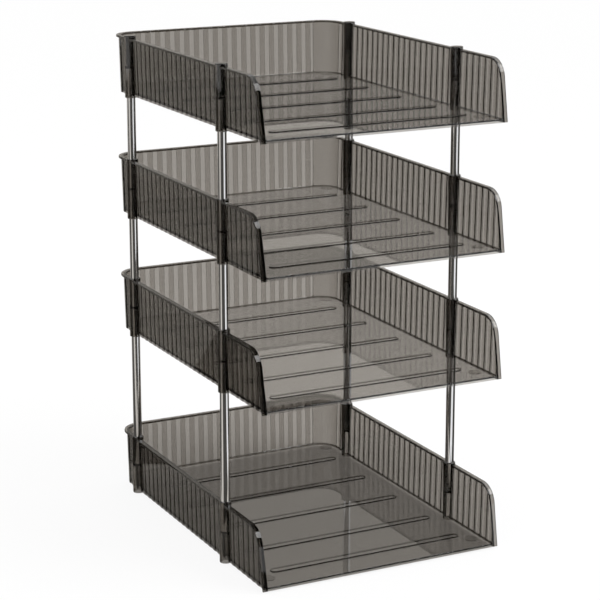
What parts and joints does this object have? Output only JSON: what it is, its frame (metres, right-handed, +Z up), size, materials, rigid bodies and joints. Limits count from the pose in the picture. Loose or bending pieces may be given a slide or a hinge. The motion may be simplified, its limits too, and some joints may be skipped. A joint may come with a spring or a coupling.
{
  "type": "tiered letter tray",
  "caption": "Stack of open-fronted fluted letter trays in clear smoke plastic, held one above another on plug-in steel posts.",
  "frame": {"origin": "on the table, under the middle of the bottom tray", "axes": "+Z up, +Y to the closed back of the trays, +X to the right seen from the open front"},
  "size_m": [0.2536, 0.344, 0.4688],
  "materials": {
    "smoke_plastic": "clear smoke-grey polystyrene, polished",
    "bright_steel": "bright-plated steel tube"
  },
  "bodies": {
    "tier_1": {"tray_1": "smoke_plastic", "post_1_front_left": "bright_steel", "post_1_front_right": "bright_steel", "post_1_rear_left": "bright_steel", "post_1_rear_right": "bright_steel"},
    "tier_2": {"tray_2": "smoke_plastic", "post_2_front_left": "bright_steel", "post_2_front_right": "bright_steel", "post_2_rear_left": "bright_steel", "post_2_rear_right": "bright_steel"},
    "tier_3": {"tray_3": "smoke_plastic", "post_3_front_left": "bright_steel", "post_3_front_right": "bright_steel", "post_3_rear_left": "bright_steel", "post_3_rear_right": "bright_steel"},
    "tier_4": {"tray_4": "smoke_plastic", "plug_front_left": "smoke_plastic", "plug_front_right": "smoke_plastic", "plug_rear_left": "smoke_plastic", "plug_rear_right": "smoke_plastic"}
  },
  "joints": [
    {"name": "tier_2_lift", "type": "slide", "parent": "tier_1", "child": "tier_2", "axis": [0, 0, 1], "range_m": [0, 0.035]},
    {"name": "tier_3_lift", "type": "slide", "parent": "tier_2", "child": "tier_3", "axis": [0, 0, 1], "range_m": [0, 0.035]},
    {"name": "tier_4_lift", "type": "slide", "parent": "tier_3", "child": "tier_4", "axis": [0, 0, 1], "range_m": [0, 0.035]}
  ]
}
